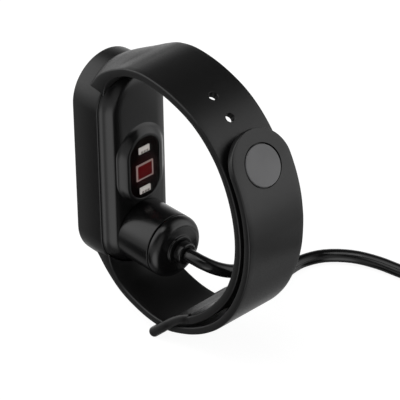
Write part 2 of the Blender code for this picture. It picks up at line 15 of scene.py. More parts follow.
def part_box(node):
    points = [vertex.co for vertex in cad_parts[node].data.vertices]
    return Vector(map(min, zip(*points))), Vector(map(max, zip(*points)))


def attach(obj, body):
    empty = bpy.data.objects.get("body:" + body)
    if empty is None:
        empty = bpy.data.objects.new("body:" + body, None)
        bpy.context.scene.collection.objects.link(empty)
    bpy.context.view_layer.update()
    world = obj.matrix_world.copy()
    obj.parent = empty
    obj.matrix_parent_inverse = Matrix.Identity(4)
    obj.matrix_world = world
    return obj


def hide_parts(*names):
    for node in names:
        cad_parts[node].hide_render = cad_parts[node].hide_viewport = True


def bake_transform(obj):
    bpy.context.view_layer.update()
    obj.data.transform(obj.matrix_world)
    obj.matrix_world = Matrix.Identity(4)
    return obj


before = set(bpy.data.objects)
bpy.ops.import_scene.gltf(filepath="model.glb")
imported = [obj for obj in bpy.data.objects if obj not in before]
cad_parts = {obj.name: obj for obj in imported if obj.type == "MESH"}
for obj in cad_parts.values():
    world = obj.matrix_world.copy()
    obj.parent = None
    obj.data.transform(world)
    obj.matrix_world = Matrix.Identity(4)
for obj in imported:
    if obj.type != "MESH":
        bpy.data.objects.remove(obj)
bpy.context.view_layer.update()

MM = 0.001
RING_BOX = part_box("holder_ring")
FRONT_X = RING_BOX[0].x
POD_Z = (RING_BOX[0].z + RING_BOX[1].z) / 2
GAP = 0.3

# Silicone: holder ring, strap with the holes and keeper, outer strap with its tab
RING_R = 9.3
RING_ARC = 14.9
RING_X = (-0.62, 6.8)
RING_INNER_R = 8.86
RING_LIP_R = 0.42
RING_REAR_R = 0.3
# The ring's outside is widest at this part of its length, and falls away before and behind it
RING_WIDEST = 0.425
RING_FALL = (0.504, 0.66)
# Where that outside starts and ends, as distances from the ring's two faces
RING_ENDS = (0.55, 0.4)
RING_STEPS = 11
STRAP_HALF = 7.6
STRAP_T = 1.75
OUTER_T = 1.65
EDGE_R = 0.3
# Face towards the wrist of the strap with the holes: x, z and thickness, from ring to keeper
UPPER_FACE = (
    (7.3, 19.3, 4.2), (8.0, 21.8, 2.9), (9.6, 23.9, 2.2), (11.8, 25.65, 1.8), (15.1, 27.15, STRAP_T),
    (20.0, 27.8, STRAP_T), (27.0, 26.7, STRAP_T), (34.0, 23.7, STRAP_T), (39.6, 18.5, STRAP_T),
    (43.3, 11.8, STRAP_T), (45.2, 4.0, STRAP_T), (45.0, -3.5, STRAP_T), (42.5, -11.0, STRAP_T),
    (37.6, -17.8, STRAP_T), (32.0, -22.7, STRAP_T), (27.4, -24.9, STRAP_T),
)
# Outer face of the other strap: x, z and thickness, from ring through the keeper to the hinge
LOWER_FACE = (
    (1.6, -18.6, 5.6), (3.9, -21.0, 3.9), (6.0, -23.4, 2.5), (8.2, -25.4, 1.95), (10.8, -27.2, STRAP_T),
    (14.1, -28.6, STRAP_T), (18.1, -29.7, STRAP_T), (22.0, -30.1, STRAP_T), (25.5, -29.75, OUTER_T),
    (29.1, -28.6, OUTER_T), (32.6, -27.1, OUTER_T), (36.2, -25.0, OUTER_T), (39.9, -22.1, OUTER_T),
    (43.1, -18.5, OUTER_T), (45.6, -14.6, OUTER_T), (47.9, -9.4, OUTER_T), (49.3, -4.0, OUTER_T),
    (49.75, 1.5, OUTER_T), (49.55, 5.5, OUTER_T),
)
# The same face on the tab, from the hinge to the middle of its round end
TAB_FACE = ((48.95, 9.2, OUTER_T), (47.75, 13.1, OUTER_T), (46.0, 16.87, OUTER_T), (44.05, 20.1, OUTER_T),
            (42.1, 23.3, OUTER_T))
SPLINE_STEPS = 10
# Outer side of the strap with the holes at its root: raised in the middle, like the ring's round end
ROOT_CROWN = 3.8
ROOT_CROWN_LENGTH = 12.5
# How far the straps' roots reach into the ring's wall
ROOT_SINK = 0.25

HOLE_R = 0.98
HOLE_PITCH = 5.2
HOLE_COUNT = 12
# Side of a hole with its softened rims, from the wrist outwards: depth and radius
HOLE_SIDE = (
    (-0.6, HOLE_R + 0.7), (0.09, HOLE_R + 0.01), (0.16, HOLE_R), (STRAP_T - 0.16, HOLE_R),
    (STRAP_T - 0.09, HOLE_R + 0.01), (STRAP_T + 0.6, HOLE_R + 0.7),
)
HOLE_STEPS = 40
# A hole's corners are turned by this part of a step, so that none lies on an edge of the strap
HOLE_TWIST = 0.37
# The tab's round end stops at this angle, short of a section without width
TAB_ARC = 87.0
TAB_STEPS = 32
SNAP_HOLE = 3
SNAP_CENTRE = (46.0, 16.87)
SNAP_TILT = math.radians(30.7)
CAP_R = 4.35
CAP_T = 0.75
CAP_EDGE_R = 0.18
POCKET_DEPTH = 1.0
POST_R = 0.6
POST_HEAD_R = 0.8
POST_LENGTH = 4.6
# Head of the snap's post, from its neck to its tip: distance from the tip and radius
POST_HEAD = (
    (1.3, POST_R), (1.1, POST_R + 0.05), (0.8, POST_HEAD_R), (0.5, POST_HEAD_R), (0.25, POST_HEAD_R - 0.1),
    (0.08, POST_HEAD_R - 0.3), (0.0, POST_HEAD_R - 0.55),
)

KEEPER_BAR = (21.5, -31.5)
KEEPER_OVERLAP = 4.5
KEEPER_BAR_R = 1.15
KEEPER_BAR_END_R = 0.9
KEEPER_HALF = 9.1
RAIL_SECTION = (0.66, 1.02)
RAIL_SQUARENESS = 3
RAIL_STEPS = 24
# Middle of a rail from inside the strap's edge to the bar: x, z and distance from the strap's middle
RAIL_PATH = (
    (31.6, -23.6, 6.9), (29.6, -24.6, 7.15), (27.8, -25.75, 7.75), (26.2, -27.1, 8.25), (24.2, -29.0, 8.42),
    (21.5, -31.5, 8.42),
)
# The keeper is melted into one moulding: size of a cell, and rounds of smoothing
MELT_CELL = 0.2
MELT_ROUNDS = 5

# Tracker pod
POD_R = 8.4
GLASS_R = 8.74
BACK_R = 8.78
GLASS_X = (-0.95, -0.3)
CASE_WALL = 0.9
CASE_FRONT_X = 0.8
CASE_SPLIT_X = 4.6
# Room left between the case and what is cut to its shape
CASE_CLEARANCE = 0.12
BACK_X = 9.7
BACK_FLOOR_X = 8.7
ISLAND_X = 11.0
WINDOW_R = 4.0
WINDOW_ARCS = (3.85, -2.55)
CONTACT_Y = 2.2
# Rounded rear edge of the case, from its side to its flat back: depth and radius
CASE_EDGE = (
    (6.0, BACK_R), (6.7, BACK_R - 0.02), (7.1, 8.6), (7.5, 8.3), (8.22, 7.9), (8.86, 7.4), (9.23, 7.0),
    (9.43, 6.6), (9.55, 6.2), (9.62, 5.8), (9.665, 5.35), (9.69, 4.9),
)
# Slope of the island, from under the case's back to the window's lip: depth, radius, arc heights
ISLAND_SLOPE = (
    (9.1, 6.7, 4.3, -1.2), (9.4, 6.6, 4.3, -1.25), (9.6, 6.45, 4.25, -1.3), (9.74, 6.22, 4.15, -1.4),
    (9.95, 5.95, 4.0, -1.6), (10.3, 5.6, 3.95, -1.9), (10.64, 5.2, 3.9, -2.25), (10.87, 4.88, 3.87, -2.45),
    (10.96, 4.7, 3.86, -2.52), (10.99, 4.5, 3.85, -2.55),
)
# Depth, from the island's top, of the ledge behind the window
ISLAND_LEDGE = 0.9
# Front of the sensor's parts, their thickness and their shift across
SENSOR_X = 10.72
SENSOR_T = 0.3
SENSOR_Y = 0.2
# Light sources: name and height of each, half size across and along the pod, and their leads
SENSOR_LEDS = (("led_upper", 4.7), ("led_lower", -5.0))
LED_HALF = (1.42, 0.74)
LEAD_SPOTS = (-0.75, 0.0, 0.75)
LEAD_HALF = 0.27
LEAD_RISE = (0.1, 0.62)
# Photodiode: height of its middle, half size across and along the pod, and its rim round that
CELL_Z = -0.4
CELL_HALF = (1.95, 1.55)
RIM_GROWTH = (0.05, 0.3)
# The painted red glow round the photodiode is full at the first distance from it and gone at the second
PAINTED_GLOW_REACH = (2.2, 4.4)

# Charging puck and its strain relief
PUCK_Z = -15.1
PUCK_X = 10.0
PUCK_R = 6.84
PUCK_SPLIT_X = 18.2
PUCK_END_X = 20.8
# How far the shell reaches forward of PUCK_X, round the case's rounded edge
PUCK_REACH = 0.9
PUCK_WALL = 0.95
COLLAR_R = 3.15
COLLAR_FILLET = 0.2
RELIEF_R = 2.35
RELIEF_END_X = 23.4
PIN_R = 0.5

# Charging cord: its route in the design frame, then a coil of the spare length, then the plug
CORD_R = 1.45
CORD_ROUTE = (
    (23.7, 0.0, -15.1), (25.2, 0.05, -15.15), (27.5, 0.6, -15.6), (29.5, 2.1, -16.6), (30.8, 4.3, -17.7),
    (31.1, 7.0, -18.9), (30.7, 10.0, -20.9), (29.8, 13.5, -24.0), (28.4, 17.5, -27.5), (26.7, 22.0, -30.2),
    (25.2, 27.0, -31.1), (25.0, 31.5, -31.1), (26.9, 36.5, -31.1), (31.3, 40.6, -31.1),
    (37.0, 42.9, -31.1), (44.0, 44.3, -31.1), (51.0, 47.1, -31.1), (58.3, 51.5, -31.1),
)
COIL_CENTRE = (78.0, 42.0)
COIL_START = 125.0
COIL_TURN = 855.0
COIL_STEP = 15.0
COIL_OUTER_R = 18.0
COIL_INNER_R = 15.1
# Where the coil moves inside its first turn, climbs on top of it, and moves out over both: degrees
COIL_INWARD = (270, 350)
COIL_CLIMB = (560, 640)
COIL_OUTWARD = (670, 710)
# Where its top turn sags a little and rises again, in degrees, and by how much
COIL_SAG_IN = (710, 760)
COIL_SAG_OUT = (810, 850)
COIL_SAG = 0.36
TAIL_ROUTE = (
    (93.7, 34.0, 4.4), (92.9, 30.5, 4.5), (92.2, 27.6, 4.45), (91.1, 24.5, 4.3), (90.5, 21.3, 3.95),
)

# USB plug: its base and the height of its middle, then distance from the base, half width, half height
# and corner radius along the overmould
PLUG_BASE = (90.5, 21.0)
PLUG_MIDDLE = 3.95
PLUG_GRIP = (
    (0.0, 2.3, 2.1, 1.6), (0.25, 2.6, 2.4, 1.9), (2.9, 2.9, 2.6, 1.9), (3.3, 3.3, 2.8, 1.9),
    (3.7, 5.2, 3.3, 1.9), (4.1, 6.3, 3.6, 1.9), (4.6, 6.8, 3.8, 1.9), (5.3, 7.0, 3.9, 1.9),
    (16.3, 7.0, 3.9, 1.9), (16.75, 6.85, 3.75, 1.75), (17.0, 6.5, 3.4, 1.4),
)
PLUG_SHELL = (17.3, 29.3)
SHELL_HALF = (6.0, 2.25)
SHELL_WALL = 0.35
SHELL_CORNER = 0.6
# The shell's windows: middles across, half width, and their ends as distances from the tip
SHELL_WINDOWS = (-2.9, 2.9)
SHELL_WINDOW_HALF = 1.1
SHELL_WINDOW_ENDS = (7.2, 4.9)

# Camera: where it looks in the design frame, and from where
CAMERA_AIM = (16.98, 9.66, -9.10)
CAMERA_AZIMUTH = 47.26
CAMERA_ELEVATION = 33.03
CAMERA_ROLL = -1.05
CAMERA_DISTANCE = 0.68496
CAMERA_LENS = 295.9
CAMERA_SENSOR = 36.0

# Surroundings: brightness by the height of a direction, then patches: where, outer and inner angle
# in degrees, and what they add
SKY_LEVELS = (
    (-1.0, 0.12), (-0.6, 0.3), (-0.3, 0.42), (0.0, 0.6), (0.2, 0.45), (0.45, 0.09), (0.7, 0.03), (1.0, 0.03),
)
SKY_PATCHES = (
    ((0.72, 0.60, 0.32), 45.0, 15.0, 0.9),
    ((-0.62, -0.42, 0.60), 50.0, 14.0, 1.5),
    ((0.50, -0.65, -0.52), 32.0, 10.0, 1.15),
    ((-0.66, 0.52, -0.48), 42.0, 8.0, 0.6),
    ((-0.42, -0.75, -0.52), 20.0, 6.0, -0.7),
    ((0.82, 0.17, -0.55), 24.0, 11.0, -2.0),
    ((0.50, 0.72, -0.50), 32.0, 12.0, 0.4),
    ((0.42, 0.60, 0.68), 34.0, 10.0, 0.32),
    ((0.70, -0.52, 0.50), 20.0, 6.0, 0.3),
)

# Soft light over the object: place, size and power
LIGHT_PLACE = (0.1, -0.25, 1.2)
LIGHT_SIZE = 0.7
LIGHT_POWER = 2.5
FLOOR_HALF = 3.0

# Surface grain: size of the slow changes of tone, and the noise values that span their range
CLOUD_SIZE = 9.0
NOISE_SPAN = (0.3, 0.7)

# Steps along a pill's half circle, round wide, middling and narrow turned pieces, and along and between
# a strap's rounded edges
ARC_STEPS = 40
TURN_STEPS = 96
MIDDLE_STEPS = 64
NARROW_STEPS = 32
CORNER_STEPS = 4
ACROSS_STEPS = 12

# Edges that bend by more than this many degrees stay sharp: most pieces, glass, and the snap's pieces
SHARP = 35
GLASS_SHARP = 40
SNAP_SHARP = 50


def at(x, y, z):
    """A point of the design frame, in millimetres, as a point of the part's frame in metres."""
    return Vector((FRONT_X + x * MM, y * MM, POD_Z + z * MM))


def on_floor(x, y, height):
    """A point given by design x and y, and by its height above the standing surface."""
    return Vector((FRONT_X + x * MM, y * MM, height * MM))


# ---------------------------------------------------------------- mesh helpers


def skin(rings, closed=False):
    """A closed mesh through rings of points: capped at both ends, or joined into a loop."""
    body = bmesh.new()
    loops = [[body.verts.new(point) for point in ring] for ring in rings]
    count = len(loops[0])
    pairs = list(zip(loops, loops[1:]))
    if closed:
        pairs.append((loops[-1], loops[0]))
    else:
        body.faces.new(loops[0])
        body.faces.new(loops[-1])
    for first, second in pairs:
        for i in range(count):
            j = (i + 1) % count
            body.faces.new((first[i], first[j], second[j], second[i]))
    return body


def pill(x, radius, arcs=(RING_ARC, -RING_ARC)):
    """Pill outline across the pod at depth x: two half circles about the heights in arcs."""
    points = []
    for centre, start in ((arcs[0], 0.0), (arcs[1], math.pi)):
        for i in range(ARC_STEPS + 1):
            angle = start + math.pi * i / ARC_STEPS
            points.append(at(x, radius * math.cos(angle), centre + radius * math.sin(angle)))
    return points


def pill_body(stations, closed=False):
    """Solid or ring through pill outlines: stations hold x, radius and, optionally, the arcs."""
    return skin([pill(*station) for station in stations], closed)


def turned(stations, y=0.0, z=0.0, closed=False, steps=TURN_STEPS):
    """Solid or ring turned about the line through y and z along x: stations hold x and radius."""
    rings = []
    for x, radius in stations:
        angles = [2 * math.pi * i / steps for i in range(steps)]
        rings.append([at(x, y + radius * math.cos(a), z + radius * math.sin(a)) for a in angles])
    return skin(rings, closed)


def snap_turned(stations, steps=MIDDLE_STEPS):
    """Solid turned about the snap's axis: stations hold distance out from the tab's face, radius."""
    across = Vector((0.0, 1.0, 0.0))
    out = Vector((math.cos(SNAP_TILT), 0.0, math.sin(SNAP_TILT)))
    along = out.cross(across)
    centre = at(SNAP_CENTRE[0], 0.0, SNAP_CENTRE[1])
    rings = []
    for distance, radius in stations:
        angles = [2 * math.pi * i / steps for i in range(steps)]
        rings.append([
            centre + MM * (out * distance + radius * (across * math.cos(a) + along * math.sin(a)))
            for a in angles
        ])
    return skin(rings)


def arc(centre_x, centre_r, radius, start, end, steps):
    """Stations along a circular arc of a turned profile; angles in degrees, 0 along x."""
    result = []
    for i in range(steps + 1):
        angle = math.radians(start + (end - start) * i / steps)
        result.append((centre_x + radius * math.cos(angle), centre_r + radius * math.sin(angle)))
    return result


def smooth(points, steps=SPLINE_STEPS):
    """Points along a Catmull-Rom curve through the given points, of any number of values."""
    ends = [
        tuple(2 * a - b for a, b in zip(points[0], points[1])),
        tuple(2 * a - b for a, b in zip(points[-1], points[-2])),
    ]
    chain = [ends[0], *points, ends[1]]
    curve = []
    for p0, p1, p2, p3 in zip(chain, chain[1:], chain[2:], chain[3:]):
        for i in range(steps):
            t = i / steps
            curve.append(tuple(
                0.5 * (2 * b + (c - a) * t + (2 * a - 5 * b + 4 * c - d) * t ** 2
                       + (3 * b - a - 3 * c + d) * t ** 3)
                for a, b, c, d in zip(p0, p1, p2, p3)
            ))
    curve.append(tuple(points[-1]))
    return curve


def normals(curve):
    """Unit normals, turned a quarter left of the direction of travel, at each (x, z) of a curve."""
    result = []
    for i in range(len(curve)):
        before, after = curve[max(i - 1, 0)], curve[min(i + 1, len(curve) - 1)]
        dx, dz = after[0] - before[0], after[1] - before[1]
        length = math.hypot(dx, dz)
        result.append((-dz / length, dx / length))
    return result


def travelled(face):
    """Distance along a face curve up to each of its points."""
    distances = [0.0]
    for before, after in zip(face, face[1:]):
        distances.append(distances[-1] + math.dist(before[:2], after[:2]))
    return distances


def strip(face, widths, crown=0.0):
    """Strap with rounded edges through a face curve of (x, z, thickness), thickness left of travel.

    The crown raises the middle of the far side where the face starts, and dies away along it.
    """
    rings = []
    for (x, z, thickness), (nx, nz), half, so_far in zip(face, normals(face), widths, travelled(face)):
        r = min(EDGE_R, 0.9 * half)
        rise = crown * max(1.0 - so_far / ROOT_CROWN_LENGTH, 0.0) ** 2
        section = []
        for start, y, depth in ((-90, half - r, r), (0, half - r, thickness - r),
                                (90, r - half, thickness - r), (180, r - half, r)):
            for i in range(CORNER_STEPS + 1):
                angle = math.radians(start + 90 * i / CORNER_STEPS)
                section.append((y + r * math.cos(angle), depth + r * math.sin(angle)))
            if start in (0, 180):
                sign = 1 if start == 0 else -1
                level = thickness if start == 0 else 0.0
                for i in range(1, ACROSS_STEPS):
                    section.append((sign * (half - r) * (1 - 2 * i / ACROSS_STEPS), level))
        ring = []
        for y, depth in section:
            through = depth + rise * (1.0 - (y / half) ** 2) * (depth / thickness)
            ring.append(at(x + nx * through, y, z + nz * through))
        rings.append(ring)
    return skin(rings)


def joined(bodies):
    """One mesh that holds several closed bodies."""
    whole = bodies[0]
    for body in bodies[1:]:
        body.verts.index_update()
        copies = [whole.verts.new(vert.co) for vert in body.verts]
        for face in body.faces:
            whole.faces.new([copies[vert.index] for vert in face.verts])
        body.free()
    return whole


def new_object(name, body):
    """A mesh object from a bmesh, with its faces pointing out."""
    mesh = bpy.data.meshes.new(name)
    bmesh.ops.recalc_face_normals(body, faces=body.faces[:])
    body.to_mesh(mesh)
    body.free()
    piece = bpy.data.objects.new(name, mesh)
    bpy.context.scene.collection.objects.link(piece)
    return piece


def apply_modifiers(piece):
    """Replaces a piece's mesh with what its modifiers make of it."""
    bpy.context.view_layer.update()
    evaluated = piece.evaluated_get(bpy.context.evaluated_depsgraph_get())
    mesh = bpy.data.meshes.new_from_object(evaluated)
    piece.modifiers.clear()
    piece.data = mesh


def cut(piece, body):
    """Cuts a closed shape out of a piece."""
    cutter = new_object("cutter", body)
    modifier = piece.modifiers.new("cut", "BOOLEAN")
    modifier.operation = "DIFFERENCE"
    modifier.object = cutter
    apply_modifiers(piece)
    bpy.data.objects.remove(cutter, do_unlink=True)


def melt(piece):
    """Melts the closed bodies of a piece into one moulding with softly rounded edges and roots."""
    remesh = piece.modifiers.new("melt", "REMESH")
    remesh.mode = "VOXEL"
    remesh.voxel_size = MELT_CELL * MM
    relax = piece.modifiers.new("relax", "SMOOTH")
    relax.factor = 0.5
    relax.iterations = MELT_ROUNDS
    apply_modifiers(piece)


def shaded(piece, material, angle=None):
    """Smooth shading, with edges above the angle kept sharp, and the piece's material."""
    piece.data.materials.clear()
    piece.data.materials.append(material)
    piece.data.shade_smooth()
    if angle is not None:
        piece.data.set_sharp_from_angle(angle=math.radians(angle))
    return piece


def settle(piece, body_name, slot_name, *nodes):
    """The piece rides on a body and stands for CAD nodes; slot_name is not used."""
    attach(piece, body_name)
    if nodes:
        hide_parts(*nodes)
    return piece


# ---------------------------------------------------------------- materials


def grained(name, colour, roughness, metallic=0.0, grain=0.35, depth=0.004, mottle=0.12, rough_spread=0.06,
            **sockets):
    """Moulded or plated surface: fine grain, and slow changes of tone and gloss."""
    material = bpy.data.materials.new(name)
    material.use_nodes = True
    tree = material.node_tree
    link = tree.links.new
    shader = tree.nodes["Principled BSDF"]
    shader.inputs["Metallic"].default_value = metallic
    for socket, value in sockets.items():
        shader.inputs[socket.replace("_", " ")].default_value = value
    place = tree.nodes.new("ShaderNodeTexCoord")

    cloud = tree.nodes.new("ShaderNodeTexNoise")
    cloud.inputs["Scale"].default_value = 1 / (CLOUD_SIZE * MM)
    cloud.inputs["Detail"].default_value = 3.0
    link(place.outputs["Object"], cloud.inputs["Vector"])
    tone = tree.nodes.new("ShaderNodeValToRGB")
    tone.color_ramp.elements[0].position = NOISE_SPAN[0]
    tone.color_ramp.elements[1].position = NOISE_SPAN[1]
    tone.color_ramp.elements[0].color = (*[c * (1 - mottle) for c in colour], 1.0)
    tone.color_ramp.elements[1].color = (*[c * (1 + mottle) for c in colour], 1.0)
    link(cloud.outputs["Fac"], tone.inputs["Fac"])
    link(tone.outputs["Color"], shader.inputs["Base Color"])

    fine = tree.nodes.new("ShaderNodeTexNoise")
    fine.inputs["Scale"].default_value = 1 / (grain * MM)
    fine.inputs["Detail"].default_value = 2.0
    link(place.outputs["Object"], fine.inputs["Vector"])
    gloss = tree.nodes.new("ShaderNodeMapRange")
    gloss.inputs["From Min"].default_value = NOISE_SPAN[0]
    gloss.inputs["From Max"].default_value = NOISE_SPAN[1]
    gloss.inputs["To Min"].default_value = roughness - rough_spread
    gloss.inputs["To Max"].default_value = roughness + rough_spread
    link(fine.outputs["Fac"], gloss.inputs["Value"])
    link(gloss.outputs["Result"], shader.inputs["Roughness"])

    bump = tree.nodes.new("ShaderNodeBump")
    bump.inputs["Strength"].default_value = 1.0
    bump.inputs["Distance"].default_value = depth * MM
    link(fine.outputs["Fac"], bump.inputs["Height"])
    link(bump.outputs["Normal"], shader.inputs["Normal"])
    return material


def mask_with_painted_glow():
    """Black mask under the sensor window, with a red glow painted round the photodiode."""
    material = grained("sensor_mask", (0.001, 0.001, 0.001), 0.5, depth=0.002, Specular_IOR_Level=0.0)
    tree = material.node_tree
    place = tree.nodes.new("ShaderNodeTexCoord")
    reach = tree.nodes.new("ShaderNodeVectorMath")
    reach.operation = "DISTANCE"
    reach.inputs[1].default_value = at(SENSOR_X, SENSOR_Y, CELL_Z)
    tree.links.new(place.outputs["Object"], reach.inputs[0])
    fade = tree.nodes.new("ShaderNodeMapRange")
    fade.inputs["From Min"].default_value = PAINTED_GLOW_REACH[0] * MM
    fade.inputs["From Max"].default_value = PAINTED_GLOW_REACH[1] * MM
    tree.links.new(reach.outputs["Value"], fade.inputs["Value"])
    # Painted glow: dark red base colour near the photodiode, fading to black further out
    painted_glow = tree.nodes.new("ShaderNodeValToRGB")
    painted_glow.color_ramp.elements[0].color = (0.03, 0.001, 0.002, 1.0)
    painted_glow.color_ramp.elements[1].color = (0.001, 0.0008, 0.0008, 1.0)
    tree.links.new(fade.outputs["Result"], painted_glow.inputs["Fac"])
    tree.links.new(painted_glow.outputs["Color"], tree.nodes["Principled BSDF"].inputs["Base Color"])
    return material


def make_materials():
    """Every finish of the object, by name."""
    return {
        "silicone": grained("silicone", (0.0035, 0.0035, 0.0036), 0.37, grain=0.3, depth=0.004),
        "satin": grained("cap_plastic", (0.125, 0.125, 0.128), 0.42, grain=0.2, depth=0.002),
        "glass": grained("display_glass", (0.004, 0.004, 0.005), 0.07, depth=0.0, rough_spread=0.01),
        "case": grained("case_plastic", (0.0035, 0.0035, 0.0036), 0.25, grain=0.3, depth=0.0003,
                        rough_spread=0.02),
        "puck": grained("puck_plastic", (0.005, 0.005, 0.0052), 0.22, grain=0.4, depth=0.0004,
                        rough_spread=0.02),
        "lens": grained("sensor_glass", (0.002, 0.0, 0.0), 0.05, depth=0.0, rough_spread=0.01, Alpha=0.2,
                        Specular_IOR_Level=0.15),
        "mask": mask_with_painted_glow(),
        "board": grained("sensor_board", (0.002, 0.001, 0.001), 0.5, depth=0.002),
        "green_board": grained("solder_mask", (0.008, 0.04, 0.022), 0.4, grain=0.5, depth=0.004),
        # The light sources' packages emit faintly: a painted glow that brightens them, not a lamp
        "led": grained("led_white", (0.9, 0.86, 0.82), 0.4, grain=0.25, depth=0.006,
                       Emission_Color=(1.0, 0.93, 0.88, 1.0), Emission_Strength=0.32),
        "lead": grained("led_leads", (0.42, 0.37, 0.34), 0.35, 0.6, grain=0.2, depth=0.002),
        "red": grained("photodiode_red", (0.2, 0.001, 0.003), 0.3, grain=0.3, depth=0.01, mottle=0.35,
                       Specular_IOR_Level=0.0),
        # The photodiode's pale rim emits faintly: a painted glow, not a lamp
        "pink": grained("photodiode_rim", (0.75, 0.5, 0.47), 0.4, depth=0.002,
                        Emission_Color=(1.0, 0.7, 0.66, 1.0), Emission_Strength=0.12),
        "chip": grained("chip_plastic", (0.012, 0.012, 0.013), 0.5, grain=0.15, depth=0.004),
        "steel": grained("plated_steel", (0.62, 0.62, 0.63), 0.28, 1.0, grain=0.4, depth=0.0006),
        "foil": grained("battery_foil", (0.5, 0.5, 0.51), 0.4, 1.0, grain=1.2, depth=0.02),
        "gold": grained("gold_plate", (0.80, 0.58, 0.25), 0.25, 1.0, grain=0.2, depth=0.001),
        "nickel": grained("nickel_plate", (0.66, 0.64, 0.6), 0.16, 1.0, grain=0.3, depth=0.001),
        "cord": grained("cord_jacket", (0.005, 0.005, 0.0052), 0.18, grain=0.8, depth=0.001,
                        rough_spread=0.03),
        "tongue": grained("tongue_plastic", (0.72, 0.72, 0.7), 0.45, grain=0.3, depth=0.003),
    }


# ---------------------------------------------------------------- silicone band


def rounded_ring():
    """Section of the holder ring: barrelled outside, rounded lips, close to the pod inside."""
    low, high = RING_X
    lip = arc(low + RING_LIP_R, RING_R - RING_LIP_R - 0.1, RING_LIP_R, 180, 95, 6)
    crown = []
    for i in range(RING_STEPS + 1):
        part = i / RING_STEPS
        x = low + RING_ENDS[0] + (high - low - sum(RING_ENDS)) * part
        fall = RING_FALL[0] if part < 0.5 else RING_FALL[1]
        crown.append((x, RING_R - fall * (part - RING_WIDEST) ** 2))
    rear = arc(high - RING_REAR_R, crown[-1][1] - RING_REAR_R - 0.02, RING_REAR_R, 80, 0, 5)
    inner = [(high, RING_INNER_R + 0.04), (high - 0.06, RING_INNER_R), (low + 0.06, RING_INNER_R - 0.04),
             (low, RING_INNER_R)]
    return pill_body(lip + crown + rear + inner, closed=True)


def root_cutter():
    """Room for the pod inside a strap's root; the root itself reaches into the ring's wall."""
    inside = RING_R - ROOT_SINK
    rear = RING_X[1] - 0.1
    return pill_body(((-3.0, inside), (rear, inside), (rear, BACK_R + CASE_CLEARANCE),
                      (BACK_X + GAP, POD_R - 0.6)))


def point_along(face, distance):
    """The face curve's values at a distance along it."""
    distances = travelled(face)
    for i in range(len(face) - 1):
        if distance <= distances[i + 1]:
            break
    part = (distance - distances[i]) / (distances[i + 1] - distances[i])
    return tuple(a + part * (b - a) for a, b in zip(face[i], face[i + 1]))


def distance_of(face, centre, direction):
    """Distance along a face curve to where it first crosses the line through centre along direction."""
    distances = travelled(face)
    for i in range(len(face) - 1):
        before, after = (
            (z - centre[1]) * direction[0] - (x - centre[0]) * direction[1] for x, z, _ in face[i:i + 2]
        )
        if before > 0 >= after or before < 0 <= after:
            return distances[i] + (distances[i + 1] - distances[i]) * before / (before - after)


def hole_cutters(face):
    """The row of holes, evenly along the strap's wrist face, as one cutter."""
    out_of_tab = (math.cos(SNAP_TILT), math.sin(SNAP_TILT))
    start = distance_of(face, SNAP_CENTRE, out_of_tab) - SNAP_HOLE * HOLE_PITCH
    facing = [(x, z, 0.0) for x, z in normals(face)]
    distances = travelled(face)
    across = Vector((0.0, 1.0, 0.0))
    holes = []
    for number in range(HOLE_COUNT):
        distance = start + number * HOLE_PITCH
        x, z, _ = point_along(face, distance)
        nearest = min(range(len(face)), key=lambda i: abs(distances[i] - distance))
        out = Vector((facing[nearest][0], 0.0, facing[nearest][1])).normalized()
        along = out.cross(across)
        angles = [2 * math.pi * (k + HOLE_TWIST) / HOLE_STEPS for k in range(HOLE_STEPS)]
        holes.append(skin([
            [at(x, 0.0, z) + MM * (out * depth + radius * (across * math.cos(a) + along * math.sin(a)))
             for a in angles]
            for depth, radius in HOLE_SIDE
        ]))
    return joined(holes)


def keeper_end():
    """Last stretch of the strap with the holes, which the keeper grows out of."""
    face = smooth(UPPER_FACE)
    distances = travelled(face)
    end = [point for point, so_far in zip(face, distances) if so_far > distances[-1] - KEEPER_OVERLAP]
    return strip(end, [STRAP_HALF] * len(end))


def keeper_rail(side):
    """Rail at one side of the keeper, nearly square in section, from the strap's edge to the bar."""
    half_y, half_n = RAIL_SECTION
    power = RAIL_SQUARENESS
    path = smooth(RAIL_PATH, 4)
    rings = []
    for (x, z, y), (nx, nz) in zip(path, normals(path)):
        ring = []
        for i in range(RAIL_STEPS):
            angle = 2 * math.pi * i / RAIL_STEPS
            c, s = math.cos(angle), math.sin(angle)
            square = (abs(c) ** power + abs(s) ** power) ** (-1 / power)
            ring.append(at(x + nx * half_n * square * s, side * y + half_y * square * c,
                           z + nz * half_n * square * s))
        rings.append(ring)
    return skin(rings)


def keeper_bar():
    """Cross bar of the keeper, with rounded ends."""
    x, z = KEEPER_BAR
    end_r = KEEPER_BAR_END_R
    ends = [(-KEEPER_HALF + end_r - end_r * math.sin(a), KEEPER_BAR_R - end_r + end_r * math.cos(a))
            for a in [math.pi / 2 * i / 6 for i in range(6, -1, -1)]]
    ends += [(-y, radius) for y, radius in reversed(ends)]
    return skin([
        [at(x + radius * math.cos(a), y, z + radius * math.sin(a))
         for a in [2 * math.pi * i / NARROW_STEPS for i in range(NARROW_STEPS)]]
        for y, radius in ends
    ])


def make_band(silicone):
    """Holder ring, strap with holes and keeper: one silicone moulding."""
    ring = new_object("pod_holder", rounded_ring())
    shaded(ring, silicone, SHARP)
    settle(ring, "band", "silicone", "holder_ring")

    face = smooth(UPPER_FACE)
    distances = travelled(face)
    body = [point for point, so_far in zip(face, distances) if so_far < distances[-1] - KEEPER_OVERLAP + 1.0]
    strap = new_object("holed_strap", strip(body, [STRAP_HALF] * len(body), ROOT_CROWN))
    cut(strap, root_cutter())
    cut(strap, hole_cutters(face))
    shaded(strap, silicone, SHARP)
    settle(strap, "band", "silicone", "upper_strap")

    keeper = new_object("keeper_loop",
                        joined([keeper_end(), keeper_rail(-1), keeper_rail(1), keeper_bar()]))
    melt(keeper)
    cut(keeper, hole_cutters(face))
    shaded(keeper, silicone)
    settle(keeper, "band", "silicone")


